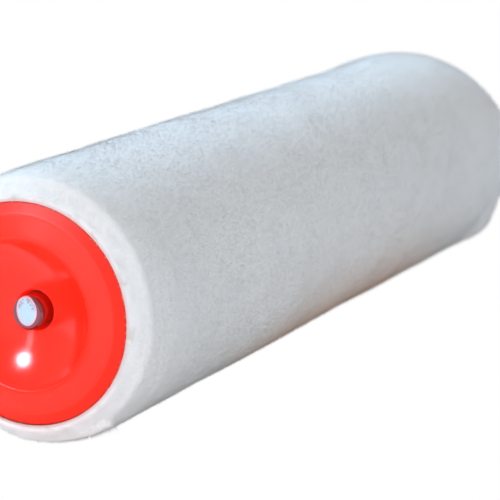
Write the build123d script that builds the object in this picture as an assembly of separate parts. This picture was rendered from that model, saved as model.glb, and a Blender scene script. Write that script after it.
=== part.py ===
from build123d import *
import os
from math import acos, hypot, sin, tan

# Paint roller with a bent wire frame. Millimetres.
# X runs along the roller axis, from the near cap (-X) to the far cap (+X).
# The handle points along -Y. +Z is up. The origin is the middle of the
# roller axis.

# ---- shared fits --------------------------------------------------------
face_gap = 0.05              # between end faces that meet
snug_gap = 0.02              # radial: bush seat in the hub; washers and teeth on the wire
sleeve_gap = 0.04            # radial: ferrule, grip and tail over the handle core

# ---- roller head --------------------------------------------------------
head_length = 250.0          # rim plane to rim plane of the two end caps
core_bore_r = 24.0           # 48 mm core
core_wall = 1.6
flange_lip = 2.0             # thickness of the cap rim over the core's end
backing_wall = 1.0
backing_inset = 2.3          # rim plane to the cut edge of the backing
pile_inset = 2.5             # rim plane to the pile's inner edge
pile_edge_height = 1.0       # height of the pile's end face at that edge
pile_face_inset = 4.2        # rim plane to the outer edge of the pile's cut face
pile_outer_r = 32.75         # 65.5 mm over the pile
pile_face_r = 31.1           # outer radius of the pile's cut face
pile_shoulder = 8.0          # length over which the pile reaches full radius
bond_gap = 0.05              # glue line between core, backing and pile

half = head_length / 2
core_r = core_bore_r + core_wall
backing_in = core_r + bond_gap
backing_out = backing_in + backing_wall
pile_in = backing_out + bond_gap

# ---- end cap ------------------------------------------------------------
rim_r = 26.35                # widest radius of the cap
skirt_r = 23.92              # plug that goes into the core
skirt_depth = 16.0
skirt_wall = 1.5
skirt_chamfer = (0.8, 0.4)   # along the axis, radial
dish_edge_r = 17.8           # raised edge around the dish
dish_edge_rise = 2.46        # how far that edge stands in front of the rim
dish_r = 25.5                # the dish is part of a sphere of this radius
bevel_r = 23.7               # start of the bevel around the rim
mouth_r = 4.85               # opening in the floor of the dish
throat_r = 4.25              # the opening narrows to this at the bush
mouth_depth = 4.2            # floor of the dish behind the rim plane
hub_r = 8.0
hub_end = 18.2               # inner end of the hub tube behind the rim plane
bush_seat = 6.3              # start of the bush seat behind the rim plane
rib_count = 6
rib_wall = 1.4
rib_overlap = 0.5            # ribs run this far into the hub and the skirt
rib_inset = 1.5              # ribs stop this far short of the skirt's end
first_rib_angle = 30

# ---- wire, bearings and retention ---------------------------------------
wire_r = 4.0                 # 8 mm wire
wire_tip = 0.4               # wire end behind the near rim plane
wire_tip_chamfer = 0.5
wire_tip_tilt = 9.0          # the end is sheared this many degrees out of square
wire_tail_chamfer = 1.0
running_gap = 0.05           # radial clearance of the wire in the bushes
bush_r = 6.0
bush_flange_r = 7.6
bush_flange = 1.0
thrust_gap = 0.25            # axial play on each side
washer_r = 8.0
washer_t = 1.0
ring_r = 8.6
ring_t = 0.5
ring_tooth_r = 5.9           # root radius of the teeth
tooth_lean = 0.7             # the tooth tips lean inward along the axis
tooth_count = 6
tooth_slot = (4, 1.1, 2.8)   # cutter between teeth: axial, width, radial

# ---- wire centre line ---------------------------------------------------
side_x = 148.0               # where the wire leaves the head and turns back
drop_y = 62.0                # first leg, away from the roller axis
centre_y = 118.0             # where the wire meets the handle's axis
bend_r = 16.0
wire_end_y = 244.0           # inner end, inside the handle
ear_span = 11.0              # swaged ears that lock the wire in the handle
ear_t = 1.4
ear_len = 7.0
ear_skew = 2.5               # the tailward edge is this much shorter at +X
ear_y = (188.0, 222.0)

# ---- handle: stations are distances from the roller axis along -Y -------
handle_top = 148.0
handle_end = 290.0
neck_r = 9.0
neck_end = 163.0
wire_bore = wire_r + 0.03
wire_end_room = 1.0          # bore past the end of the wire
groove_r = 12.6              # seat of the soft grip
groove_start = 176.0
groove_end = 249.0
tail_start = 252.0           # the tail is pushed over a spigot on the core
spigot_r = 11.2
spigot_end = 258.0
spigot_seat = spigot_end + 0.5
ear_slot_gap = 0.1           # added to the ears' span and thickness
ear_slot_end_gap = 0.5       # slot past the last ear
ear_slot_extra = 0.02        # added to the length of the slot cutter
ferrule_wall = 0.8
ferrule_hole_r = wire_r + 0.15
bead_rise = 0.5              # bead height over the bare neck plus ferrule wall
bead_start = neck_end - 2.2
ferrule_end = neck_end - 0.6
socket_r = 10.5              # 21 mm pole socket
mouth_chamfer = 0.8


# ---- outline helpers ----------------------------------------------------
def unit(start, end):
    """Direction from start to end, one unit long."""
    across, up = end[0] - start[0], end[1] - start[1]
    length = hypot(across, up)
    return across / length, up / length


def step(point, direction, distance):
    return point[0] + direction[0] * distance, point[1] + direction[1] * distance


def outline(points, to_space):
    """Closed outline with rounded corners.

    points is a list of (along, radius, corner round); to_space turns a
    flat point into a 3-D one.
    """
    count = len(points)
    flat = [(along, radius) for along, radius, _ in points]
    to_last = [unit(flat[i], flat[i - 1]) for i in range(count)]
    to_next = [unit(flat[i], flat[(i + 1) % count]) for i in range(count)]

    # reach: how far each round runs along the sides of its corner
    half_angle, reach = [], []
    for back, ahead, (_, _, rounding) in zip(to_last, to_next, points):
        dot = back[0] * ahead[0] + back[1] * ahead[1]
        half_angle.append(acos(max(-1.0, min(1.0, dot))) / 2)
        reach.append(rounding / tan(half_angle[-1]) if rounding > 0 else 0.0)

    # Where two rounds do not fit on a side, shrink the larger one first.
    for i in range(count):
        j = (i + 1) % count
        room = 0.995 * hypot(flat[i][0] - flat[j][0], flat[i][1] - flat[j][1])
        if reach[i] + reach[j] > room:
            small = min(reach[i], reach[j], room / 2)
            if reach[i] > reach[j]:
                reach[i], reach[j] = room - small, small
            else:
                reach[i], reach[j] = small, room - small

    starts = [step(flat[i], to_last[i], reach[i]) for i in range(count)]
    ends = [step(flat[i], to_next[i], reach[i]) for i in range(count)]
    edges = []
    for i in range(count):
        if reach[i] > 0:
            rounding = reach[i] * tan(half_angle[i])
            bisector = unit((0, 0), step(to_last[i], to_next[i], 1))
            middle = step(flat[i], bisector, rounding / sin(half_angle[i]) - rounding)
            edges.append(Edge.make_three_point_arc(
                to_space(starts[i]), to_space(middle), to_space(ends[i])))
        line_from, line_to = ends[i], starts[(i + 1) % count]
        if hypot(line_from[0] - line_to[0], line_from[1] - line_to[1]) > 1e-6:
            edges.append(Edge.make_line(to_space(line_from), to_space(line_to)))
    return Face(Wire(edges))


def turned_x(points):
    """Solid of revolution about the roller axis, from (x, radius, round)."""
    return revolve(outline(points, lambda p: (p[0], 0, p[1])), Axis.X, 360)


def turned_handle(points):
    """Solid of revolution about the handle's axis, from (distance, radius, round)."""
    return revolve(outline(points, lambda p: (0, -p[0], p[1])), Axis.Y, 360)


def both_sides(make):
    """One compound of the near (-1) and far (1) copies of a piece."""
    return Compound(children=[make(side).solid() for side in (-1, 1)])


# ---- core and cover -----------------------------------------------------
def core_tube():
    end = half - flange_lip
    return turned_x([
        (-end, core_bore_r, 0.3), (-end, core_r, 0.3),
        (end, core_r, 0.3), (end, core_bore_r, 0.3)])


def cover_backing():
    end = half - backing_inset
    return turned_x([
        (-end, backing_in, 0), (-end, backing_out, 0.25),
        (end, backing_out, 0.25), (end, backing_in, 0)])


def pile_cover():
    end = half - pile_inset
    face_end = half - pile_face_inset
    full_end = face_end - pile_shoulder
    edge_r = pile_in + pile_edge_height
    return turned_x([
        (-end, pile_in, 0), (-end, edge_r, 0.8),
        (-face_end, pile_face_r, 2.0), (-full_end, pile_outer_r, 20),
        (full_end, pile_outer_r, 20), (face_end, pile_face_r, 2.0),
        (end, edge_r, 0.8), (end, pile_in, 0)])


# ---- end caps -----------------------------------------------------------
skirt_in = skirt_r - skirt_wall
seat_r = bush_r + snug_gap

# Both outlines: (height in front of the rim plane, radius, round).
cap_outline = [
    # outside: dish, raised edge, bevel, rim, skirt
    (-mouth_depth, mouth_r, 0.35),
    (-2.77, 12.29, dish_r),
    (dish_edge_rise, dish_edge_r - 0.05, 0.6),
    (1.45, bevel_r, 1.6),
    (0.15, rim_r - 0.2, 0.4),
    (-0.5, rim_r, 0.4),
    (-1.5, rim_r, 0.4),
    (-flange_lip, rim_r - 0.35, 0.2),
    (-flange_lip, skirt_r, 0.2),
    (-skirt_depth + skirt_chamfer[0], skirt_r, 0),
    (-skirt_depth, skirt_r - skirt_chamfer[1], 0),
    # inside: skirt, back of the dish, hub tube, bush seat
    (-skirt_depth, skirt_in, 0),
    (-0.5, skirt_in, 0.8),
    (0.85, dish_edge_r + 0.8, 1.5),
    (-3.05, 14.0, dish_r + skirt_wall),
    (-5.0, hub_r, 0.5),
    (-hub_end, hub_r, 0.3),
    (-hub_end, seat_r, 0),
    (-bush_seat, seat_r, 0),
    (-bush_seat, throat_r, 0),
]
rib_outline = [
    (-skirt_depth + rib_inset, hub_r - rib_overlap, 0),
    (-skirt_depth + rib_inset, skirt_in + rib_overlap, 0),
    (-1.0, skirt_in + rib_overlap, 0),
    (1.0, 19.0, 0),
    (-1.6, 14.0, 0),
    (-4.4, hub_r - rib_overlap, 0),
]


def end_cap(side):
    """Dished cap with its plug skirt, hub tube and ribs. side is -1 or 1."""
    def place(points):
        return [(side * (half + height), radius, rounding)
                for height, radius, rounding in points]

    cap = turned_x(place(cap_outline))
    flat = outline(place(rib_outline), lambda p: (p[0], 0, p[1]))
    rib = extrude(flat, rib_wall / 2, dir=(0, 1, 0), both=True)
    for i in range(rib_count):
        cap += Rot(X=first_rib_angle + i * 360 / rib_count) * rib
    return cap


# ---- hub bushes, thrust washers, retaining rings ------------------------
# Distances from the middle of the head, stacked inward from the hub.
bush_outer = half - bush_seat - face_gap
bush_inner = half - hub_end - face_gap      # hub end face
bush_back = bush_inner - bush_flange        # inner face of the bush's flange
washer_out = bush_back - thrust_gap
washer_in = washer_out - washer_t
ring_out = washer_in - face_gap
ring_in = ring_out - ring_t
wire_fit_r = wire_r + snug_gap


def hub_bush(side):
    bore = wire_r + running_gap
    return turned_x([
        (side * bush_outer, bore, 0.2), (side * bush_outer, bush_r, 0.3),
        (side * bush_inner, bush_r, 0), (side * bush_inner, bush_flange_r, 0.2),
        (side * bush_back, bush_flange_r, 0.2), (side * bush_back, bore, 0.2)])


def thrust_washer(side):
    return turned_x([
        (side * washer_out, wire_fit_r, 0), (side * washer_out, washer_r, 0.2),
        (side * washer_in, washer_r, 0.2), (side * washer_in, wire_fit_r, 0)])


def retaining_ring(side):
    """Push-on ring: a flat rim and six sprung teeth that bite on the wire."""
    ring = turned_x([
        (side * ring_out, ring_tooth_r, 0), (side * ring_out, ring_r, 0.15),
        (side * ring_in, ring_r, 0.15), (side * ring_in, ring_tooth_r, 0),
        (side * (ring_in - tooth_lean), wire_fit_r, 0),
        (side * (ring_out - tooth_lean), wire_fit_r, 0)])
    for i in range(tooth_count):
        slot = Pos(side * ring_in, 0, ring_tooth_r - tooth_slot[2] / 2) * Box(*tooth_slot)
        ring -= Rot(X=i * 360 / tooth_count) * slot
    return ring


# ---- wire frame ---------------------------------------------------------
def frame_rod():
    """Bent wire with a sheared tip in the near cap and ears in the handle."""
    tip_x = -half + wire_tip
    path = FilletPolyline(
        (tip_x, 0, 0), (side_x, 0, 0), (side_x, -drop_y, 0),
        (0, -centre_y, 0), (0, -wire_end_y, 0), radius=bend_r)
    section = Plane(origin=path @ 0, z_dir=path % 0) * Circle(wire_r)
    rod = sweep(section, path)

    shear_length = 40
    shear = Pos(tip_x - shear_length / 2, 0, 0) * Box(shear_length, 20, 20)
    shear = shear.rotate(Axis((tip_x, 0, 0), (0, 0, 1)), -wire_tip_tilt)
    rod = rod - shear
    tip_face = rod.faces().sort_by(Axis.X)[0]
    rod = chamfer(tip_face.edges(), wire_tip_chamfer)
    tail_edge = rod.edges().filter_by(GeomType.CIRCLE).sort_by(Axis.Y)[0]
    rod = chamfer(tail_edge, wire_tail_chamfer)

    for y in ear_y:
        ear = extrude(Plane.XY.offset(-ear_t / 2) * Pos(0, -y) * Polygon(
            (-ear_span / 2, -ear_len / 2), (ear_span / 2, -ear_len / 2 + ear_skew),
            (ear_span / 2, ear_len / 2), (-ear_span / 2, ear_len / 2),
            align=None), ear_t)
        rod += ear
    return rod


# ---- handle -------------------------------------------------------------
def cut_rings(part, first, count, pitch, half_width, floor_r, clear_r, floor_round):
    """Cut a row of grooves around a handle part; clear_r lies outside it."""
    for i in range(count):
        y = first + i * pitch
        part -= turned_handle([
            (y - half_width, floor_r, floor_round), (y - half_width, clear_r, 0),
            (y + half_width, clear_r, 0), (y + half_width, floor_r, floor_round)])
    return part


def handle_core():
    """Neck, grip seat and spigot, with the wire bore and a slot for the ears."""
    tail_face = tail_start - face_gap
    bore_end = wire_end_y + wire_end_room
    core = turned_handle([
        (handle_top, wire_bore, 0.3), (handle_top, neck_r, 0.8),
        (neck_end, neck_r, 0), (neck_end, neck_r + 1.1, 0.5),
        (170.0, 13.4, 9.0), (groove_start - 1.0, 15.3, 1.2),
        (groove_start, 15.0, 0.3), (groove_start, groove_r, 0),
        (groove_end, groove_r, 0), (groove_end, 15.3, 0.3),
        (tail_face, 15.5, 0.3), (tail_face, spigot_r, 0),
        (spigot_end, spigot_r, 0.5), (spigot_end, 0, 0),
        (bore_end, 0, 0), (bore_end, wire_bore, 0)])
    slot_end = ear_y[-1] + ear_len / 2 + ear_slot_end_gap
    slot = Pos(0, -(handle_top + slot_end) / 2, 0) * Box(
        ear_span + ear_slot_gap, slot_end - handle_top + ear_slot_extra,
        ear_t + ear_slot_gap)
    return core - slot


def soft_grip():
    start, end = groove_start + face_gap, groove_end - face_gap
    bore = groove_r + sleeve_gap
    grip = turned_handle([
        (start, bore, 0), (start, 14.9, 0.4),
        (183.0, 15.3, 10.0), (199.0, 14.0, 24.0), (222.0, 16.8, 26.0),
        (groove_end - 8.0, 15.4, 16.0), (end, 15.1, 0.4), (end, bore, 0)])
    return cut_rings(grip, first=207.0, count=7, pitch=4.8, half_width=0.9,
                     floor_r=15.2, clear_r=18.5, floor_round=0.5)


def neck_ferrule():
    """Thin cup over the neck, with a bead near its open end."""
    inner_face = handle_top - face_gap
    outer_face = inner_face - ferrule_wall
    bore = neck_r + sleeve_gap
    outer_r = bore + ferrule_wall
    bead_r = neck_r + ferrule_wall + bead_rise
    return turned_handle([
        (outer_face, ferrule_hole_r, 0), (outer_face, outer_r, 0.9),
        (bead_start, outer_r, 0), (bead_start, bead_r, 0.3),
        (ferrule_end, bead_r, 0.5), (ferrule_end, bore, 0),
        (inner_face, bore, 0.4), (inner_face, ferrule_hole_r, 0)])


def handle_tail():
    """Tail of the handle, with the socket for an extension pole."""
    bore = spigot_r + sleeve_gap
    tail = turned_handle([
        (tail_start, bore, 0), (tail_start, 15.6, 0.4),
        (262.0, 16.2, 12.0), (281.0, 16.5, 14.0), (handle_end, 15.5, 2.0),
        (handle_end, socket_r + mouth_chamfer, 0),
        (handle_end - mouth_chamfer, socket_r, 0),
        (spigot_seat, socket_r, 0), (spigot_seat, bore, 0)])
    return cut_rings(tail, first=268.0, count=3, pitch=4.5, half_width=0.6,
                     floor_r=15.8, clear_r=18.0, floor_round=0.3)


# ---- output -------------------------------------------------------------
def save(shape, name):
    solids = shape.solids()
    shape = solids[0] if len(solids) == 1 else Compound(children=list(solids))
    shape.label = name
    export_step(shape, "parts/" + name + ".step")


os.makedirs("parts", exist_ok=True)
for name, shape in (
    ("core_tube", core_tube()),
    ("cover_backing", cover_backing()),
    ("pile_cover", pile_cover()),
    ("near_end_cap", end_cap(-1)),
    ("far_end_cap", end_cap(1)),
    ("near_hub_bush", hub_bush(-1)),
    ("far_hub_bush", hub_bush(1)),
    ("thrust_washers", both_sides(thrust_washer)),
    ("retaining_rings", both_sides(retaining_ring)),
    ("frame_rod", frame_rod()),
    ("neck_ferrule", neck_ferrule()),
    ("handle_core", handle_core()),
    ("soft_grip", soft_grip()),
    ("handle_tail", handle_tail()),
):
    save(shape, name)
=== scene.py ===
import math

import bpy
import numpy as np
from mathutils import Matrix, Vector


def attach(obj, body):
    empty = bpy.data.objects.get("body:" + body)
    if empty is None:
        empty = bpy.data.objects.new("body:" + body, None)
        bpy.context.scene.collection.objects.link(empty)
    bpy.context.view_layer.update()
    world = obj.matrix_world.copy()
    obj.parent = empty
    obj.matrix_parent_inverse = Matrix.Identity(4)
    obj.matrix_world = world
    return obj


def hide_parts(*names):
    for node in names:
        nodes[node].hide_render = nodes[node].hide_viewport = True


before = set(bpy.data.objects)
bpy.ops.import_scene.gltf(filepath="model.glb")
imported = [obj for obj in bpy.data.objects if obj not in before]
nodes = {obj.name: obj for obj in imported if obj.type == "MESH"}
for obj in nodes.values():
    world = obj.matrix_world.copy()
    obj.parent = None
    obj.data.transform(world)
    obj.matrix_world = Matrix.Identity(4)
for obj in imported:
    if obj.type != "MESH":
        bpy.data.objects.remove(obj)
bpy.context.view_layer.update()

# Materials, lights and camera are in metres. The pile is modelled in millimetres.
MM = 0.001
TIP_X = -0.1246                       # the wire's sheared end
FLOOR_Z = -0.0331
VIEW = (0.88567, 0.4143, -0.2096)     # the way the camera looks
# painted glow: the colour of a red emission that stands in for light carried through red
# plastic
PAINTED_RED_GLOW = (1.0, 0.006, 0.002)        # light carried through red plastic


# ------------------------------------------------------------ shader helpers
class Tree:
    """A short way to write the nodes of a material or a world."""

    def __init__(self, owner):
        owner.use_nodes = True
        self.nodes = owner.node_tree.nodes
        self.links = owner.node_tree.links

    def feed(self, socket, value):
        """Links a socket, or sets its value; colours get an alpha of 1."""
        if isinstance(value, bpy.types.NodeSocket):
            self.links.new(value, socket)
        elif socket.type == "RGBA":
            socket.default_value = (*value[:3], 1.0)
        else:
            socket.default_value = value

    def node(self, kind, sockets=None, **settings):
        made = self.nodes.new("ShaderNode" + kind)
        for key, value in settings.items():
            setattr(made, key, value)
        for key, value in (sockets or {}).items():
            self.feed(made.inputs[key], value)
        return made

    def ramp(self, source, low, high, to_low=0.0, to_high=1.0, kind="SMOOTHSTEP"):
        """Takes source from low..high to to_low..to_high."""
        return self.node("MapRange", {
            "Value": source, "From Min": low, "From Max": high,
            "To Min": to_low, "To Max": to_high}, interpolation_type=kind).outputs["Result"]

    def maths(self, operation, *values):
        return self.node("Math", dict(enumerate(values)), operation=operation).outputs[0]

    def plus(self, a, b):
        return self.maths("ADD", a, b)

    def minus(self, a, b):
        return self.maths("SUBTRACT", a, b)

    def times(self, a, b):
        return self.maths("MULTIPLY", a, b)

    def vector(self, operation, *values, result="Value"):
        made = self.node("VectorMath", dict(enumerate(values)), operation=operation)
        return made.outputs[result]

    def mix(self, factor, a, b):
        """Colour a where factor is 0, b where it is 1."""
        # a Mix node's colour sockets are inputs 6 and 7 and output 2
        return self.node("Mix", {0: factor, 6: a, 7: b}, data_type="RGBA").outputs[2]


class Material(Tree):
    """A principled material with patterns in object coordinates."""

    def __init__(self, name):
        self.material = bpy.data.materials.new(name)
        super().__init__(self.material)
        self.principled = self.nodes["Principled BSDF"]
        self.coord = self.node("TexCoord").outputs["Object"]

    def place(self, scale, turn=(0, 0, 0)):
        return self.node("Mapping", {
            "Scale": scale, "Rotation": turn, "Vector": self.coord}).outputs["Vector"]

    def noise(self, scale, detail=4.0, rough=0.55, vector=None):
        return self.node("TexNoise", {
            "Scale": scale, "Detail": detail, "Roughness": rough,
            "Vector": vector or self.coord}).outputs["Fac"]

    def bump(self, height, strength, distance, after=None):
        sockets = {"Strength": strength, "Distance": distance, "Height": height}
        if after is not None:
            sockets["Normal"] = after
        return self.node("Bump", sockets).outputs["Normal"]

    def position(self):
        return self.node("SeparateXYZ", {0: self.coord}).outputs

    def axis_radius(self, position):
        """Distance from the roller's axis."""
        y, z = position["Y"], position["Z"]
        return self.maths("SQRT", self.plus(self.times(y, y), self.times(z, z)))

    def finish(self, **values):
        for key, value in values.items():
            self.feed(self.principled.inputs[key.replace("_", " ")], value)
        return self.material


# ----------------------------------------------------------------- materials
def red_plastic(name, base, deep, cap=False):
    t = Material(name)
    cloud = t.ramp(t.noise(scale=55, detail=3), low=0.35, high=0.7)
    colour = t.mix(cloud, base, deep)
    speck = t.ramp(t.noise(scale=1900, detail=2), low=0.70, high=0.78, to_high=0.35)
    colour = t.mix(speck, colour, np.minimum(1, np.multiply(base, 1.25) + 0.02))
    # fine scratches, in two directions
    fine = t.noise(scale=260, detail=6, rough=0.7,
                   vector=t.place(scale=(1, 9, 1), turn=(0.5, 0.2, 0.1)))
    cross = t.noise(scale=230, detail=6, rough=0.7,
                    vector=t.place(scale=(1, 1, 11), turn=(0.9, -0.3, 0.4)))
    scratch = t.maths("MAXIMUM", t.ramp(fine, low=0.63, high=0.70),
                      t.ramp(cross, low=0.64, high=0.72))
    cloudy = t.ramp(t.noise(scale=90, detail=5), low=0.3, high=0.75, to_low=0.13, to_high=0.19)
    rough = t.plus(cloudy, t.times(scratch, 0.10))
    specular = 0.5
    if cap:
        radius = t.axis_radius(t.position())
        bevel = dict(low=0.0228, high=0.0240)
        bevel_shade_red, rim_edge_shade_red = (0.88, 0.024, 0.010), (0.74, 0.034, 0.016)
        # the bevel and the rim's outer edge are painted a darker red: painted shade
        colour = t.mix(t.ramp(radius, low=0.0236, high=0.0250, to_high=0.6), colour, bevel_shade_red)
        colour = t.mix(t.ramp(radius, low=0.0253, high=0.0262), colour, rim_edge_shade_red)
        # the dish is polished by its mould; the bevel round the rim is matt
        rough = t.plus(rough, t.ramp(radius, low=0.0180, high=0.0205, to_high=0.08))
        rough = t.plus(rough, t.ramp(radius, **bevel, to_high=0.22))
        edge = t.times(t.ramp(radius, low=0.0164, high=0.0172),
                       t.ramp(radius, low=0.0190, high=0.0182))
        rough = t.plus(rough, t.times(edge, 0.2))
        specular = t.minus(t.ramp(radius, **bevel, to_low=0.36, to_high=0.20),
                           t.times(edge, 0.16))
        # painted glow round the wire's hole: a red emission that stands in for light carried
        # through the thin plastic
        t.finish(Emission_Color=PAINTED_RED_GLOW,
                 Emission_Strength=t.ramp(radius, low=0.0054, high=0.0048, to_high=0.20))
    peel = t.bump(t.noise(scale=300, detail=2), strength=0.04, distance=0.0002)
    marks = t.bump(scratch, strength=0.05, distance=0.00005, after=peel)
    return t.finish(Base_Color=colour, Roughness=rough, Normal=marks,
                    Specular_IOR_Level=specular,
                    Coat_Weight=0.0 if cap else 0.15, Coat_Roughness=0.08)


def zinc_wire(name):
    """Drawn, zinc-plated wire, with raw metal at its sheared tip; the tip is painted with
    reflections, a highlight and shade.
    """
    t = Material(name)
    position = t.position()
    x = position["X"]
    plate_light, plate_dark = (0.66, 0.68, 0.71), (0.56, 0.58, 0.62)
    tip_red_reflection, spot_grey = (0.62, 0.44, 0.45), (0.30, 0.31, 0.34)

    # the plating, spotted everywhere but near the tip
    cloud = t.noise(scale=140, detail=5, rough=0.6)
    colour = t.mix(t.ramp(cloud, low=0.3, high=0.75), plate_light, plate_dark)
    lines = t.noise(scale=420, detail=5, rough=0.7)
    near_tip = t.ramp(x, low=TIP_X + 0.009, high=TIP_X + 0.006)
    away = t.minus(1.0, near_tip)
    spots = t.times(t.ramp(t.noise(scale=900, detail=3, rough=0.6),
                           low=0.66, high=0.76, to_high=0.20), away)
    # near the tip the wire is smooth and unspotted, and painted pink: a painted reflection of
    # the red cap
    colour = t.mix(near_tip, colour, tip_red_reflection)
    colour = t.mix(spots, colour, spot_grey)
    rough = t.plus(t.ramp(lines, low=0.3, high=0.7, to_low=0.24, to_high=0.31),
                   t.times(spots, 0.2))
    rough = t.plus(t.times(rough, away), t.times(near_tip, 0.14))
    height = t.times(t.plus(t.times(lines, 0.6), t.times(cloud, 0.4)), away)
    normal = t.bump(height, strength=0.012, distance=0.0001)

    # the shear left a bright oval of torn metal with a rolled edge round it; its colours are
    # painted reflection, highlight and shade
    oval_y, oval_z = 0.0002, 0.0005             # its centre
    half_y, half_z = 0.00282, 0.00350           # its half axes
    # the face's pale blue is a painted reflection of the sky on the bright torn metal
    sky_reflection_light, sky_reflection_dark = (0.49, 0.665, 0.80), (0.44, 0.61, 0.74)
    arch_shadow_grey, rim_highlight_pink = (0.36, 0.33, 0.42), (0.74, 0.46, 0.54)
    side_shade_brown = (0.32, 0.105, 0.125)
    across = t.maths("DIVIDE", t.minus(position["Y"], oval_y), half_y)
    upward = t.maths("DIVIDE", t.minus(position["Z"], oval_z), half_z)
    oval = t.maths("SQRT", t.plus(t.times(across, across), t.times(upward, upward)))
    front = t.ramp(x, low=TIP_X + 0.0016, high=TIP_X + 0.0013)
    inside = t.times(front, t.ramp(oval, low=1.03, high=0.97))
    fade = t.ramp(x, low=TIP_X + 0.0030, high=TIP_X + 0.0006)
    outside = t.times(fade, t.minus(1.0, inside))
    shear = t.noise(scale=1500, detail=4, rough=0.6, vector=t.place(scale=(0.2, 1.0, 0.35)))
    painted_tip_face = t.mix(t.ramp(shear, low=0.35, high=0.75), sky_reflection_light, sky_reflection_dark)
    # a grey arch in the oval's upper part: painted shadow
    arch = t.times(t.ramp(position["Z"], low=0.0002, high=0.0016),
                   t.ramp(oval, low=0.42, high=0.66))
    arch_shadow = t.times(arch, t.ramp(t.noise(scale=2300, detail=2, rough=0.5), low=0.42, high=0.56))
    painted_tip_face = t.mix(arch_shadow, painted_tip_face, arch_shadow_grey)
    # a pink ring round the oval: painted highlight on the rolled edge
    painted_tip_face = t.mix(t.ramp(oval, low=0.80, high=0.93), painted_tip_face, rim_highlight_pink)
    colour = t.mix(inside, colour, painted_tip_face)
    # a reddish brown band on the wire's side by the tip: painted shade with red reflection
    # from the cap
    colour = t.mix(outside, colour, side_shade_brown)
    metal = t.minus(1.0, t.times(inside, 0.85))
    rough = t.plus(t.times(rough, t.minus(1.0, inside)), t.times(inside, 0.55))
    normal = t.bump(t.times(shear, inside), strength=0.25, distance=0.0002, after=normal)
    return t.finish(Base_Color=colour, Metallic=metal, Roughness=rough, Normal=normal)


def brushed(name, base, smoothest, roughest, stretch):
    """Brushed steel; the brush lines run along the axis stretched least."""
    t = Material(name)
    lines = t.noise(scale=900, detail=6, rough=0.7, vector=t.place(scale=stretch))
    colour = t.mix(t.ramp(lines, low=0.35, high=0.7), base, np.multiply(base, 0.78))
    stain = t.ramp(t.noise(scale=60, detail=4), low=0.55, high=0.75)
    colour = t.mix(t.times(stain, 0.35), colour, np.multiply(base, 0.7))
    rough = t.ramp(lines, low=0.3, high=0.7, to_low=smoothest, to_high=roughest)
    return t.finish(Base_Color=colour, Metallic=1.0, Roughness=rough,
                    Normal=t.bump(lines, strength=0.06, distance=0.0001))


def moulded(name, base, rough, glow=0.0):
    """Dusty moulded plastic with a grained skin; glow adds a painted red glow."""
    t = Material(name)
    cloud = t.noise(scale=45, detail=4)
    colour = t.mix(t.ramp(cloud, low=0.3, high=0.75), base, np.multiply(base, 0.82))
    dust = t.ramp(t.noise(scale=500, detail=4, rough=0.7), low=0.62, high=0.8, to_high=0.25)
    colour = t.mix(dust, colour, np.minimum(1, np.multiply(base, 1.2) + 0.03))
    skin = t.noise(scale=900, detail=3, rough=0.6)
    # painted glow: a red emission that stands in for light carried through the plastic
    if glow:
        t.finish(Emission_Color=PAINTED_RED_GLOW, Emission_Strength=glow)
    return t.finish(
        Base_Color=colour,
        Roughness=t.ramp(cloud, low=0.3, high=0.75,
                         to_low=rough * 0.85, to_high=min(1, rough * 1.15)),
        Normal=t.bump(skin, strength=0.35, distance=0.00012))


def rubber(name):
    t = Material(name)
    dark, worn, dust_grey = (0.022, 0.022, 0.024), (0.036, 0.036, 0.038), (0.12, 0.115, 0.11)
    cloud = t.noise(scale=35, detail=4)
    colour = t.mix(t.ramp(cloud, low=0.3, high=0.75), dark, worn)
    dust = t.ramp(t.noise(scale=160, detail=6, rough=0.75), low=0.55, high=0.85, to_high=0.35)
    colour = t.mix(dust, colour, dust_grey)
    cell = t.node("TexVoronoi", {"Scale": 1100, "Vector": t.coord}, feature="SMOOTH_F1")
    return t.finish(
        Base_Color=colour,
        Roughness=t.ramp(cloud, low=0.3, high=0.7, to_low=0.55, to_high=0.72),
        Normal=t.bump(cell.outputs["Distance"], strength=0.4, distance=0.00018),
        Specular_IOR_Level=0.35)


def woven_backing(name):
    t = Material(name)
    dark, light, groove = (0.44, 0.38, 0.31), (0.60, 0.55, 0.48), (0.33, 0.29, 0.24)
    weave = t.node("TexWave", {"Scale": 190, "Distortion": 1.2, "Vector": t.coord},
                   wave_type="BANDS", bands_direction="X").outputs["Fac"]
    fuzz = t.noise(scale=1400, detail=4, rough=0.7)
    colour = t.mix(t.ramp(fuzz, low=0.3, high=0.7), dark, light)
    colour = t.mix(t.times(weave, 0.4), colour, groove)
    return t.finish(Base_Color=colour, Roughness=0.95,
                    Normal=t.bump(t.plus(weave, fuzz), strength=0.6, distance=0.0003))


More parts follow.
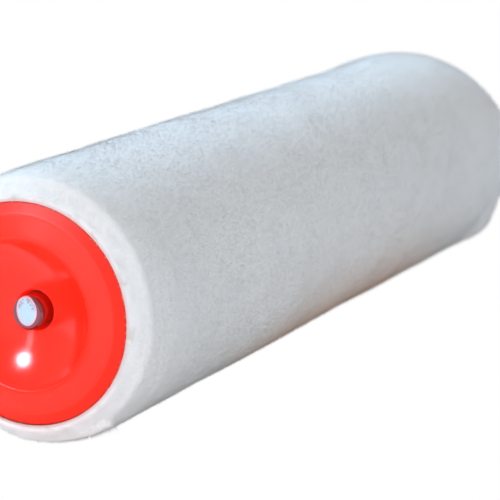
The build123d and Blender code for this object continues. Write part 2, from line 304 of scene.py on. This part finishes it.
def plush(name, tint, fibre=False):
    """Cut pile. Fibres carry the attribute tip: 0 at the root, 1 at the end."""
    t = Material(name)
    position = t.position()
    radius = t.axis_radius(position)
    big = t.noise(scale=38, detail=4, rough=0.6)
    middle = t.noise(scale=150, detail=5, rough=0.65)
    small = t.noise(scale=700, detail=4, rough=0.6)
    colour = tint
    # each size of cloud: where it shows, how strongly, and its shade of the tint
    for cloud, low, high, most, shade in (
            (big, 0.35, 0.7, 1.0, (0.965, 0.965, 0.97)),
            (middle, 0.55, 0.75, 0.30, (0.94, 0.93, 0.92)),
            (small, 0.5, 0.8, 0.20, (0.90, 0.89, 0.88))):
        colour = t.mix(t.ramp(cloud, low, high, to_high=most), colour,
                       np.multiply(tint, shade))
    if not fibre:
        # the foot of the pile, by the cap, has grey-brown patches
        foot_grey_brown = (0.64, 0.60, 0.57)
        foot = t.times(t.ramp(radius, low=0.0284, high=0.0268),
                       t.ramp(middle, low=0.50, high=0.66))
        colour = t.mix(foot, colour, foot_grey_brown)
    # the sides are painted a little darker than the cut faces: painted shade
    black = (0.0, 0.0, 0.0)
    side = t.ramp(t.maths("ABSOLUTE", position["X"]), low=0.1218, high=0.1200, to_high=0.075)
    colour = t.mix(side, colour, black)
    # and the foot is painted pinkish grey: painted contact shadow with red light thrown from
    # the cap
    cap_contact_shade = (0.72, 0.47, 0.46)
    colour = t.mix(t.ramp(radius, low=0.0274, high=0.0264, to_high=0.9), colour, cap_contact_shade)
    if fibre:
        tip = t.node("Attribute", attribute_name="tip").outputs["Fac"]
        # the fibres are painted darker towards the root: painted shade between the fibres
        dark = t.ramp(tip, low=0.0, high=0.75, to_low=0.05, to_high=0.0)
        colour = t.mix(dark, colour, np.multiply(tint, 0.78))
    else:
        lumps = t.plus(small, t.times(middle, 1.5))
        t.finish(Normal=t.bump(lumps, strength=0.15, distance=0.0004))
    return t.finish(Base_Color=colour, Roughness=0.95, Specular_IOR_Level=0.15)


def dress(material, *pieces):
    for piece in pieces:
        ob = nodes[piece]
        if not ob.material_slots:
            ob.data.materials.append(material)
        for slot in ob.material_slots:
            slot.link = "OBJECT"
            slot.material = material


dress(red_plastic("cap_red", base=(1.0, 0.026, 0.009), deep=(0.98, 0.022, 0.007), cap=True),
      "near_end_cap", "far_end_cap")
dress(red_plastic("handle_red", base=(0.92, 0.018, 0.008), deep=(0.86, 0.015, 0.006)),
      "handle_core")
dress(zinc_wire("zinc_wire"), "frame_rod")
dress(brushed("ferrule_steel", base=(0.62, 0.63, 0.65), smoothest=0.22, roughest=0.40,
              stretch=(1, 0.05, 1)), "neck_ferrule")
dress(brushed("spring_steel", base=(0.40, 0.41, 0.43), smoothest=0.25, roughest=0.4,
              stretch=(0.1, 1, 1)), "retaining_rings")
dress(rubber("grip_rubber"), "soft_grip")
dress(moulded("tail_plastic", base=(0.025, 0.025, 0.027), rough=0.5), "handle_tail")
dress(moulded("core_plastic", base=(0.42, 0.37, 0.31), rough=0.6), "core_tube")
# the bushes get a painted red glow
dress(moulded("bush_acetal", base=(0.40, 0.016, 0.012), rough=0.4, glow=0.10),
      "near_hub_bush", "far_hub_bush", "thrust_washers")
dress(woven_backing("woven_backing"), "cover_backing")


# --------------------------------------------------------------------- noise
TABLE = np.random.default_rng(11).random(1 << 16)


def lattice(i, j, k, seed):
    """A fixed random number from 0 to 1 for each whole-number point."""
    h = (i * 73856093) ^ (j * 19349663) ^ (k * 83492791) ^ (seed * 2654435761)
    h ^= h >> 13
    h = h * 1274126177
    h ^= h >> 16
    return TABLE[h & 0xFFFF]


def noise3(points, size, seed):
    """Smooth noise from -1 to 1 with features of about `size`, at points (n, 3)."""
    scaled = points / size + 1000.0
    cell = np.floor(scaled).astype(np.int64)
    f = scaled - cell
    blend = f * f * f * (f * (f * 6 - 15) + 10)
    out = 0.0
    for a in (0, 1):
        weight_a = blend[:, 0] if a else 1 - blend[:, 0]
        for b in (0, 1):
            weight_b = blend[:, 1] if b else 1 - blend[:, 1]
            for c in (0, 1):
                weight_c = blend[:, 2] if c else 1 - blend[:, 2]
                corner = lattice(cell[:, 0] + a, cell[:, 1] + b, cell[:, 2] + c, seed)
                out = out + weight_a * weight_b * weight_c * corner
    return out * 2 - 1


# ---------------------------------------------------------------- pile shape
# Millimetres. The base is the dense body of the pile, and the fibres stand out
# of it. A point is given by `along`, the distance on the path, and `angle`,
# in radians round the axis from +Y towards +Z.
HALF = 120.8                      # half the sleeve's length
R_BASE = 32.0
FACE_IN = 26.75                   # inner radius of the cut faces
TUFT_SIZE = 2.7
TUFT_SEED = 21
LONE_X = -119.8                   # one tuft left standing on the near end's lower edge
LONE_ANGLE = math.radians(233.0)

# x from the near end of the sleeve, and radius: up the near cut face and over the shoulder
NEAR_OUTLINE = [
    (-1.9, FACE_IN), (-3.0, 26.55), (-4.1, 26.5), (-4.7, 26.25), (-4.95, 26.3),
    (-4.7, 26.9), (-3.3, 28.1), (-1.6, 29.4), (-0.3, 30.45), (0.4, 30.85),
    (1.8, 31.2), (5.0, 31.6), (9.5, 31.88), (16.0, R_BASE), (22.0, R_BASE)]


def smooth_path(points, rounds=5):
    """Cuts the corners of an open line, again and again, and keeps its ends."""
    line = np.array(points, float)
    for _ in range(rounds):
        a = 0.75 * line[:-1] + 0.25 * line[1:]
        b = 0.25 * line[:-1] + 0.75 * line[1:]
        line = np.vstack([line[:1], np.column_stack([a, b]).reshape(-1, 2), line[-1:]])
    return line


# the path runs from the near cut face, along the sleeve, and down the far cut face
near = [(-HALF + x, r) for x, r in NEAR_OUTLINE] + [(-60.0, R_BASE)]
path = smooth_path(near + [(-x, r) for x, r in near[::-1]])
steps = np.hypot(*np.diff(path, axis=0).T)
arc = np.concatenate([[0], np.cumsum(steps)])
LENGTH = arc[-1]
tangent = np.gradient(path, arc, axis=0)
tangent /= np.linalg.norm(tangent, axis=1)[:, None]
path_normal = np.column_stack([-tangent[:, 1], tangent[:, 0]])  # (x, r), outwards
FOOT = arc[np.argmin(path[:, 0])]   # where the pile reaches farthest out, by the cap's rim


def on_path(along):
    x = np.interp(along, arc, path[:, 0])
    r = np.interp(along, arc, path[:, 1])
    normal_x = np.interp(along, arc, path_normal[:, 0])
    normal_r = np.interp(along, arc, path_normal[:, 1])
    size = np.hypot(normal_x, normal_r)
    return x, r, normal_x / size, normal_r / size


def rise(value, start, over):
    """0 up to start, then climbing straight to 1 over the given span."""
    return np.clip((value - start) / over, 0, 1)


def ease(t):
    return t * t * (3 - 2 * t)


def hump(value, centre, width, power=1.0):
    return np.exp(-power * ((value - centre) / width) ** 2)


def degrees(angle):
    return np.mod(np.degrees(angle), 360.0)


def clump(along, angle):
    """Nearest tuft centre on the unrolled cover: offsets along and round, distance, number."""
    around = int(round(2 * math.pi * R_BASE / TUFT_SIZE))
    i = np.floor(along / TUFT_SIZE).astype(np.int64)
    j = np.floor((angle / (2 * math.pi)) * around).astype(np.int64)
    count = len(along)
    nearest = np.full(count, 1e9)
    offset_along, offset_round, number = np.zeros(count), np.zeros(count), np.zeros(count)
    for a in (-1, 0, 1):
        for b in (-1, 0, 1):
            row, column = i + a, j + b
            wrapped = np.mod(column, around)
            centre_along = (row + lattice(row, wrapped, 3, TUFT_SEED)) * TUFT_SIZE
            turn = (column + lattice(row, wrapped, 7, TUFT_SEED + 5)) / around
            centre_round = turn * 2 * math.pi * R_BASE
            da, dr = centre_along - along, centre_round - angle * R_BASE
            distance = np.hypot(da, dr)
            closer = distance < nearest
            nearest = np.where(closer, distance, nearest)
            offset_along = np.where(closer, da, offset_along)
            offset_round = np.where(closer, dr, offset_round)
            number = np.where(closer, lattice(row, wrapped, 13, TUFT_SEED + 9), number)
    return offset_along, offset_round, nearest, number


def ends(along):
    """1 at the cut ends of the cover, 0 along it."""
    return ease(np.clip(1 - np.minimum(along, LENGTH - along) / 14.0, 0, 1))


def flare(x, r, angle):
    """The lower edge of the near end, where the cut fibres stand outwards."""
    up = ease(rise(degrees(angle), start=229.5, over=4.0))
    down = ease(rise(degrees(angle), start=236.0, over=22.0))
    part = up * (1 - 0.9 * down)
    return part * hump(x, centre=-119.9, width=2.6) * rise(r, start=29.6, over=1.2)


def lone_tuft(x, angle, width):
    square = (x - LONE_X) ** 2 + ((angle - LONE_ANGLE) * R_BASE) ** 2
    return np.exp(-square / (2 * width ** 2))


def base_points(along, angle):
    """Points and normals of the pile's dense body, and how near each is to an end.

    Each factor standing in front of a term is its height in millimetres.
    """
    x, r, normal_x, normal_r = on_path(along)
    cos, sin = np.cos(angle), np.sin(angle)
    p = np.column_stack([x, r * cos, r * sin])
    normal = np.column_stack([normal_x, normal_r * cos, normal_r * sin])
    end = ends(along)
    deg = degrees(angle)

    # waves and tufts all over, rougher at the ends
    d = (0.20 * noise3(p, size=14.0, seed=1) + 0.045 * noise3(p, size=4.6, seed=2)
         + 0.02 * noise3(p, size=1.8, seed=3))
    _, _, distance, number = clump(along, angle)
    d += 0.025 * (0.6 - distance / TUFT_SIZE) + 0.02 * (number - 0.5)
    d += end * (0.30 * noise3(p, size=3.4, seed=4) + 0.13 * noise3(p, size=1.6, seed=5))

    # the far end is crushed on top, and stands fuller at its -Y side and lower corner
    far = rise(x, start=104.0, over=16.0)
    d -= far * far * 1.35 * np.maximum(np.cos(angle - math.radians(75.0)), 0)
    d += far * far * (0.5 * np.maximum(-sin, 0)
                      + 0.7 * hump(deg, centre=158.0, width=14.0, power=0.5))
    d += (1.8 * rise(x, start=107.0, over=7.0)
          * hump(deg, centre=223.0, width=8.0, power=0.5))
    d += 0.55 * hump(x, centre=98.0, width=16.0) * np.maximum(sin, 0)

    # the lower edge of the near end
    d += 0.7 * lone_tuft(x, angle, width=0.7) * rise(r, start=30.6, over=0.6)
    d += 0.8 * flare(x, r, angle)
    # the near end is a little fuller above and below than at its sides
    d += 0.45 * rise(-x, start=106.0, over=12.0) * sin ** 2
    d -= 0.70 * rise(-x, start=111.0, over=8.0) * cos ** 2 * rise(r, start=27.0, over=3.6)
    # hardly any relief at the foot, against the cap
    d = d * np.maximum(rise(r, start=26.6, over=0.8), 0.08)
    return p + normal * d[:, None], normal, end


# --------------------------------------------------------------- pile meshes
def new_mesh(name, co, faces, uv, material, tip=None, shade=None):
    """A smooth mesh from millimetre points; shade holds custom vertex normals."""
    me = bpy.data.meshes.new(name)
    me.vertices.add(len(co))
    me.vertices.foreach_set("co", (co * MM).astype(np.float32).ravel())
    me.loops.add(faces.size)
    me.loops.foreach_set("vertex_index", faces.astype(np.int32).ravel())
    me.polygons.add(len(faces))
    starts = np.arange(len(faces)) * faces.shape[1]
    me.polygons.foreach_set("loop_start", starts.astype(np.int32))
    me.polygons.foreach_set("use_smooth", np.full(len(faces), True))
    layer = me.uv_layers.new(name="OFBake")
    layer.data.foreach_set("uv", uv.astype(np.float32).ravel())
    if tip is not None:
        attribute = me.attributes.new("tip", "FLOAT", "POINT")
        attribute.data.foreach_set("value", tip.astype(np.float32))
    me.update(calc_edges=True)
    if shade is not None:
        me.normals_split_custom_set_from_vertices(shade)
    ob = bpy.data.objects.new(name, me)
    bpy.context.scene.collection.objects.link(ob)
    ob.data.materials.append(material)
    return ob


def map_v(along):
    """The path's share of the UV map; the hidden inner wall lies above it."""
    return along / LENGTH * 0.94 + 0.03


def pile_base():
    around = 460
    end_band = 16                     # closer rows within this distance of each end
    rows = np.concatenate([
        np.linspace(0, end_band, 40, endpoint=False),
        np.linspace(end_band, LENGTH - end_band, 340, endpoint=False),
        np.linspace(LENGTH - end_band, LENGTH, 41)])
    angles = np.arange(around) / around * 2 * math.pi
    along, angle = np.meshgrid(rows, angles, indexing="ij")
    co, _, _ = base_points(along.ravel(), angle.ravel())

    # the hidden inner wall, from the far end back to the near end, closes the piece
    inner_r = FACE_IN - 0.04
    inner_x = np.linspace(co[-1, 0] - 0.1, co[0, 0] + 0.1, 8)
    inner = np.array([(x, inner_r * math.cos(a), inner_r * math.sin(a))
                      for x in inner_x for a in angles])
    co = np.vstack([co, inner])

    total = len(rows) + len(inner_x)
    row, column = np.meshgrid(np.arange(total), np.arange(around), indexing="ij")
    this_ring, next_ring = row * around, (row + 1) % total * around
    next_column = (column + 1) % around
    quads = np.stack([this_ring + column, this_ring + next_column,
                      next_ring + next_column, next_ring + column], -1).reshape(-1, 4)
    v = np.concatenate([map_v(rows), np.full(len(inner_x), 0.985)])
    v1, v2 = v[row], np.append(v[1:], 0.99)[row]
    u1, u2 = column / around, (column + 1) / around
    uv = np.stack([u1, v1, u2, v1, u2, v2, u1, v2], -1).reshape(-1, 2)
    return new_mesh("pile_body", co, quads, uv, plush("pile_plush", (0.865, 0.868, 0.868)))


def unit(v):
    return v / np.maximum(np.linalg.norm(v, axis=1), 1e-9)[:, None]


def fibres(name, along, angle, rng, material):
    """Short tapered fibres rooted in the pile's body."""
    length = (0.90, 1.30)             # shortest and longest
    width = 0.085                     # radius at the root
    sunk = 0.45                       # depth of the root in the body
    scatter = 0.24                    # random lean of each fibre
    uv_half = 0.0011                  # half size of a fibre's patch in the UV map

    n = len(along)
    root, normal, end = base_points(along, angle)
    x, r = root[:, 0], np.hypot(root[:, 1], root[:, 2])
    radial = np.column_stack([np.zeros(n), np.cos(angle), np.sin(angle)])
    round_way = np.column_stack([np.zeros(n), -np.sin(angle), np.cos(angle)])
    along_way = unit(np.cross(round_way, normal))

    # the lean: broad and narrow waves, a gathering into tufts, and scatter
    lean_along = (0.20 * noise3(root, size=9.0, seed=31)
                  + 0.05 * noise3(root, size=2.6, seed=33))
    lean_round = (0.20 + 0.20 * noise3(root, size=10.0, seed=35)
                  + 0.05 * noise3(root, size=2.9, seed=37))
    offset_along, offset_round, _, number = clump(along, angle)
    gather = 0.03 + 0.2 * end
    lean_along = lean_along + gather * offset_along + rng.normal(0, scatter, n)
    lean_round = lean_round + gather * offset_round + rng.normal(0, scatter, n)

    # on the cut faces the fibres still grow outwards from the core
    spread = rise(r, start=27.2, over=2.0)
    outward = 0.8 * end * spread * np.minimum(np.abs(normal[:, 0]) * 4, 1)
    grow = unit(normal + radial * outward[:, None])
    direction = unit(grow + along_way * lean_along[:, None] + round_way * lean_round[:, None])

    # longer in the lone tuft, the flare and the outer part of the ends, shorter at the foot
    standing = 1 + 0.9 * lone_tuft(x, angle, width=0.8) + 0.3 * flare(x, r, angle)
    reach = (standing * rng.uniform(*length, n) * (0.97 + 0.06 * number)
             * (1 + 0.35 * end * spread - 0.35 * end * (1 - spread)))

    # each fibre is a thin pyramid: three points at the root and one at the tip
    start = root - normal * sunk
    side = unit(np.cross(direction, rng.normal(size=(n, 3))))
    other = np.cross(direction, side)
    thick = width * rng.uniform(0.75, 1.3, n) * (0.55 + 0.45 * end)
    co = np.empty((n, 4, 3))
    for k, a in enumerate((0, 2 * math.pi / 3, 4 * math.pi / 3)):
        co[:, k] = start + (side * math.cos(a) + other * math.sin(a)) * thick[:, None]
    co[:, 3] = start + direction * reach[:, None]
    pyramid = np.array([[0, 1, 3], [1, 2, 3], [2, 0, 3], [0, 2, 1]])
    first = (np.arange(n) * 4)[:, None, None]
    triangles = (first + pyramid[None]).reshape(-1, 3)

    u, v = angle / (2 * math.pi), map_v(along)
    corners = np.stack([np.column_stack([u - uv_half, v - uv_half]),
                        np.column_stack([u + uv_half, v - uv_half]),
                        np.column_stack([u, v + uv_half]), np.column_stack([u, v])], 1)
    uv = corners[np.repeat(np.arange(n), pyramid.size), np.tile(pyramid.ravel(), n)]
    tips = np.tile([0.0, 0.0, 0.0, 1.0], n)

    # they take the light as the pile's surface does; the cut ends show more of each fibre
    shade = unit(normal + (0.06 + 0.30 * end)[:, None] * (direction - normal)
                 + rng.normal(0, 1, (n, 3)) * (0.02 + 0.10 * end)[:, None])
    return new_mesh(name, co.reshape(-1, 3), triangles, uv, material,
                    tip=tips, shade=np.repeat(shade, 4, axis=0))


body = pile_base()
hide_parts("pile_cover")
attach(body, "roller_head")

PER_PIECE = 48000
PIECES = 9
FIBRE_TINTS = [(0.895, 0.90, 0.90), (0.887, 0.892, 0.897), (0.90, 0.903, 0.90)]
rng = np.random.default_rng(5)
fibre_mats = [plush("pile_fibre_%d" % i, tint, fibre=True)
              for i, tint in enumerate(FIBRE_TINTS)]
for k in range(PIECES):
    along = rng.uniform(FOOT - 0.1, LENGTH - FOOT + 0.1, PER_PIECE)
    angle = rng.uniform(0, 2 * math.pi, PER_PIECE)
    ob = fibres("pile_fibres_%02d" % (k + 1), along, angle, rng,
                fibre_mats[k % len(fibre_mats)])
    ob.visible_shadow = False        # light passes through the single fibres
    ob.visible_diffuse = False
    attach(ob, "roller_head")


# ----------------------------------------------------------- floor and world
def floor_white():
    """White to the main camera; from other sides grey near the roller, whiter outwards."""
    material = bpy.data.materials.new("floor_white")
    t = Tree(material)
    geometry = t.node("NewGeometry").outputs
    camera_ray = t.node("LightPath").outputs["Is Camera Ray"]
    speckle = t.node("TexNoise", {"Scale": 14}).outputs["Fac"]
    paper = t.mix(speckle, (0.89, 0.875, 0.86), (0.93, 0.915, 0.90))

    # the light thrown up from under the middle of the roller is warmer
    stretch = 2.4                     # the warm patch is this much narrower in Y
    warm_colour = (0.86, 0.48, 0.27)
    oval = t.vector("MULTIPLY", geometry["Position"], (1.0, stretch, 1.0), result="Vector")
    under = t.vector("DISTANCE", oval, (0.008, -0.020 * stretch, FLOOR_Z))
    warmth = t.times(t.ramp(under, low=0.085, high=0.040), t.minus(1.0, camera_ray))
    principled = t.nodes["Principled BSDF"]
    t.feed(principled.inputs["Roughness"], 0.9)
    t.feed(principled.inputs["Base Color"], t.mix(warmth, paper, warm_colour))

    facing = t.vector("DOT_PRODUCT", geometry["Incoming"], tuple(-c for c in VIEW))
    main_view = t.ramp(facing, low=0.955, high=0.975, kind="LINEAR")
    distance = t.vector("LENGTH", geometry["Position"])
    white = t.maths("MAXIMUM", main_view, t.ramp(distance, low=0.30, high=1.10))
    glow = t.node("Emission", {"Color": (1, 1, 1), "Strength": 1.0})
    shader = t.node("MixShader", {0: t.times(camera_ray, white),
                                  1: principled.outputs[0], 2: glow.outputs[0]})
    t.feed(t.nodes["Material Output"].inputs["Surface"], shader.outputs[0])
    return material


def make_floor():
    half = 6.0
    me = bpy.data.meshes.new("floor")
    me.from_pydata([(-half, -half, FLOOR_Z), (half, -half, FLOOR_Z),
                    (half, half, FLOOR_Z), (-half, half, FLOOR_Z)], [], [(0, 1, 2, 3)])
    floor = bpy.data.objects.new("floor", me)
    bpy.context.scene.collection.objects.link(floor)
    me.materials.append(floor_white())
    floor.visible_shadow = False     # the lamps are not cut off by the table


def make_world():
    """A soft sky that lights the roller, and plain white where the camera sees it."""
    world = bpy.data.worlds.new("studio")
    bpy.context.scene.world = world
    t = Tree(world)
    coord = t.node("TexCoord").outputs["Generated"]
    up = t.node("SeparateXYZ", {0: coord}).outputs["Z"]
    height = t.maths("MULTIPLY_ADD", up, 0.5, 0.5)      # 0 straight down, 1 straight up
    sky = t.node("ValToRGB", {0: height})
    stops = sky.color_ramp.elements
    stops[0].position = 0.30
    stops[0].color = (0.60, 0.58, 0.57, 1)
    stops[1].position = 0.95
    stops[1].color = (0.74, 0.79, 0.83, 1)
    stops.new(0.55).color = (0.785, 0.773, 0.754, 1)
    background = t.nodes["Background"]
    t.feed(background.inputs["Color"], sky.outputs[0])
    t.feed(background.inputs["Strength"], 0.86)
    white = t.node("Background", {"Color": (1, 1, 1)})
    camera_ray = t.node("LightPath").outputs["Is Camera Ray"]
    shader = t.node("MixShader", {0: camera_ray, 1: background.outputs[0],
                                  2: white.outputs[0]})
    t.feed(t.nodes["World Output"].inputs["Surface"], shader.outputs[0])


make_floor()
make_world()

# -------------------------------------------------------------------- lights
NEAR_END = (-0.12, 0, 0)


def area(name, direction, distance, size, power, colour, aim=NEAR_END, shiny=True, soft=True):
    """An area lamp facing aim from the given direction; one size makes a disk.

    shiny and soft say whether it shows in glossy and in diffuse light.
    """
    toward_lamp = Vector(direction).normalized()
    light = bpy.data.lights.new(name, "AREA")
    light.shape = "DISK" if len(size) == 1 else "RECTANGLE"
    light.size = size[0]
    if len(size) == 2:
        light.size_y = size[1]
    light.energy = power
    light.color = colour
    ob = bpy.data.objects.new(name, light)
    ob.location = Vector(aim) + toward_lamp * distance
    ob.rotation_mode = "QUATERNION"
    ob.rotation_quaternion = toward_lamp.to_track_quat("Z", "Y")
    ob.visible_camera = False
    ob.visible_glossy = shiny
    ob.visible_diffuse = soft
    bpy.context.scene.collection.objects.link(ob)


area("lamp", direction=(-0.764, 0.356, 0.537), distance=1.1, size=(0.25,), power=13.0,
     colour=(0.97, 0.86, 1.0), soft=False)
area("strip", direction=(-0.867, 0.404, 0.292), distance=1.1, size=(0.09, 0.40), power=1.1,
     colour=(1.0, 0.84, 0.97), soft=False)
area("key", direction=(-0.77, 0.39, 0.50), distance=1.1, size=(0.6, 0.6), power=1.3,
     colour=(1.0, 0.985, 0.97), shiny=False)
area("back", direction=(0.35, 0.68, 0.68), distance=1.4, size=(0.6, 0.6), power=20.2,
     colour=(0.55, 0.78, 1.0), aim=(0, 0, 0), shiny=False)
area("front", direction=(-1.0, 0.05, -0.05), distance=1.3, size=(0.8, 0.8), power=7.8,
     colour=(0.975, 0.945, 1.0), shiny=False)


# -------------------------------------------------------------------- camera
def make_camera():
    lens = bpy.data.cameras.new("camera")
    lens.sensor_fit = "HORIZONTAL"
    lens.sensor_width = 36.0
    lens.lens = 174.852
    lens.clip_start = 0.01
    lens.clip_end = 50
    cam = bpy.data.objects.new("camera", lens)
    place = (-0.5936, -0.2759, 0.1310)
    right = Vector((0.42374, -0.90579, 0.0)).normalized()
    forward = Vector(VIEW).normalized()
    right = (right - forward * right.dot(forward)).normalized()
    up = right.cross(forward)
    rows = [(right[i], up[i], -forward[i], place[i]) for i in range(3)]
    cam.matrix_world = Matrix((*rows, (0, 0, 0, 1)))
    bpy.context.scene.collection.objects.link(cam)
    bpy.context.scene.camera = cam

    # the lens is focused on the near end, so the far end is a little soft
    focus = bpy.data.objects.new("focus_point", None)
    focus.location = (-0.124, 0.0, 0.0)
    bpy.context.scene.collection.objects.link(focus)
    lens.dof.use_dof = True
    lens.dof.focus_object = focus
    lens.dof.aperture_fstop = 45.0


make_camera()

scene = bpy.context.scene
scene.view_settings.view_transform = "Standard"
scene.view_settings.look = "None"
scene.view_settings.exposure = 0.0
scene.cycles.use_denoising = True
scene.cycles.max_bounces = 8
scene.cycles.diffuse_bounces = 5
scene.cycles.glossy_bounces = 4
